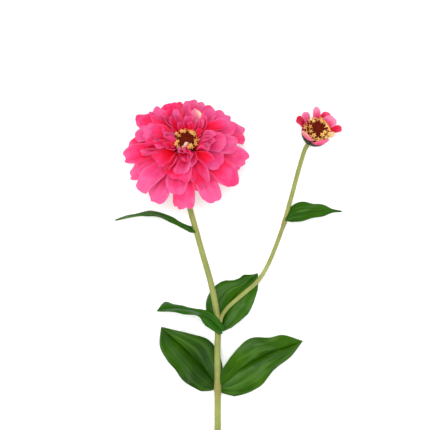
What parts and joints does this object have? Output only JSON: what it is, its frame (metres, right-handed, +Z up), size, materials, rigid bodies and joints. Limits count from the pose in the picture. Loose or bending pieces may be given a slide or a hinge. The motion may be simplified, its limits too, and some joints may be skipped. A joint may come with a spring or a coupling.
{
  "type": "zinnia flower",
  "caption": "Cut zinnia lying on a table: a forked stem with an open double bloom, a half-open bud and leaves.",
  "frame": {"origin": "on the table, under the middle of the plant's footprint", "axes": "+Y along the stem from its cut end to the bloom, +Z up from the table, +X towards the side branch with the bud"},
  "size_m": [0.1903, 0.2963, 0.0636],
  "materials": {
    "stem": "satin",
    "leaf": "satin",
    "calyx": "satin",
    "petal": "matte",
    "inner_petal": "matte",
    "bud_petal": "matte",
    "disc": "matte",
    "floret": "matte"
  },
  "bodies": {
    "root": {"main_stem": "stem", "side_stem": "stem", "lower_left_leaf": "leaf", "lower_right_leaf": "leaf", "middle_left_leaf": "leaf", "middle_right_leaf": "leaf", "upper_left_leaf": "leaf", "upper_right_leaf": "leaf", "bloom_calyx": "calyx", "bloom_disc": "disc", "bloom_florets": "floret", "outer_petal_01": "petal", "outer_petal_02": "petal", "outer_petal_03": "petal", "outer_petal_04": "petal", "outer_petal_05": "petal", "outer_petal_06": "petal", "outer_petal_07": "petal", "outer_petal_08": "petal", "outer_petal_09": "petal", "outer_petal_10": "petal", "outer_petal_11": "petal", "second_row_petal_01": "petal", "second_row_petal_02": "petal", "second_row_petal_03": "petal", "second_row_petal_04": "petal", "second_row_petal_05": "petal", "second_row_petal_06": "petal", "second_row_petal_07": "petal", "second_row_petal_08": "petal", "second_row_petal_09": "petal", "second_row_petal_10": "petal", "second_row_petal_11": "petal", "third_row_petal_01": "petal", "third_row_petal_02": "petal", "third_row_petal_03": "petal", "third_row_petal_04": "petal", "third_row_petal_05": "petal", "third_row_petal_06": "petal", "third_row_petal_07": "petal", "third_row_petal_08": "petal", "third_row_petal_09": "petal", "third_row_petal_10": "petal", "fourth_row_petals": "inner_petal", "fifth_row_petals": "inner_petal", "sixth_row_petals": "inner_petal", "inner_row_petals": "inner_petal", "bud_calyx": "calyx", "bud_disc": "disc", "bud_florets": "floret", "bud_petal_01": "bud_petal", "bud_petal_02": "bud_petal", "bud_petal_03": "bud_petal", "bud_petal_04": "bud_petal", "bud_petal_05": "bud_petal", "bud_petal_06": "bud_petal", "bud_petal_07": "bud_petal", "bud_petal_08": "bud_petal", "bud_petal_09": "bud_petal"}
  },
  "joints": []
}
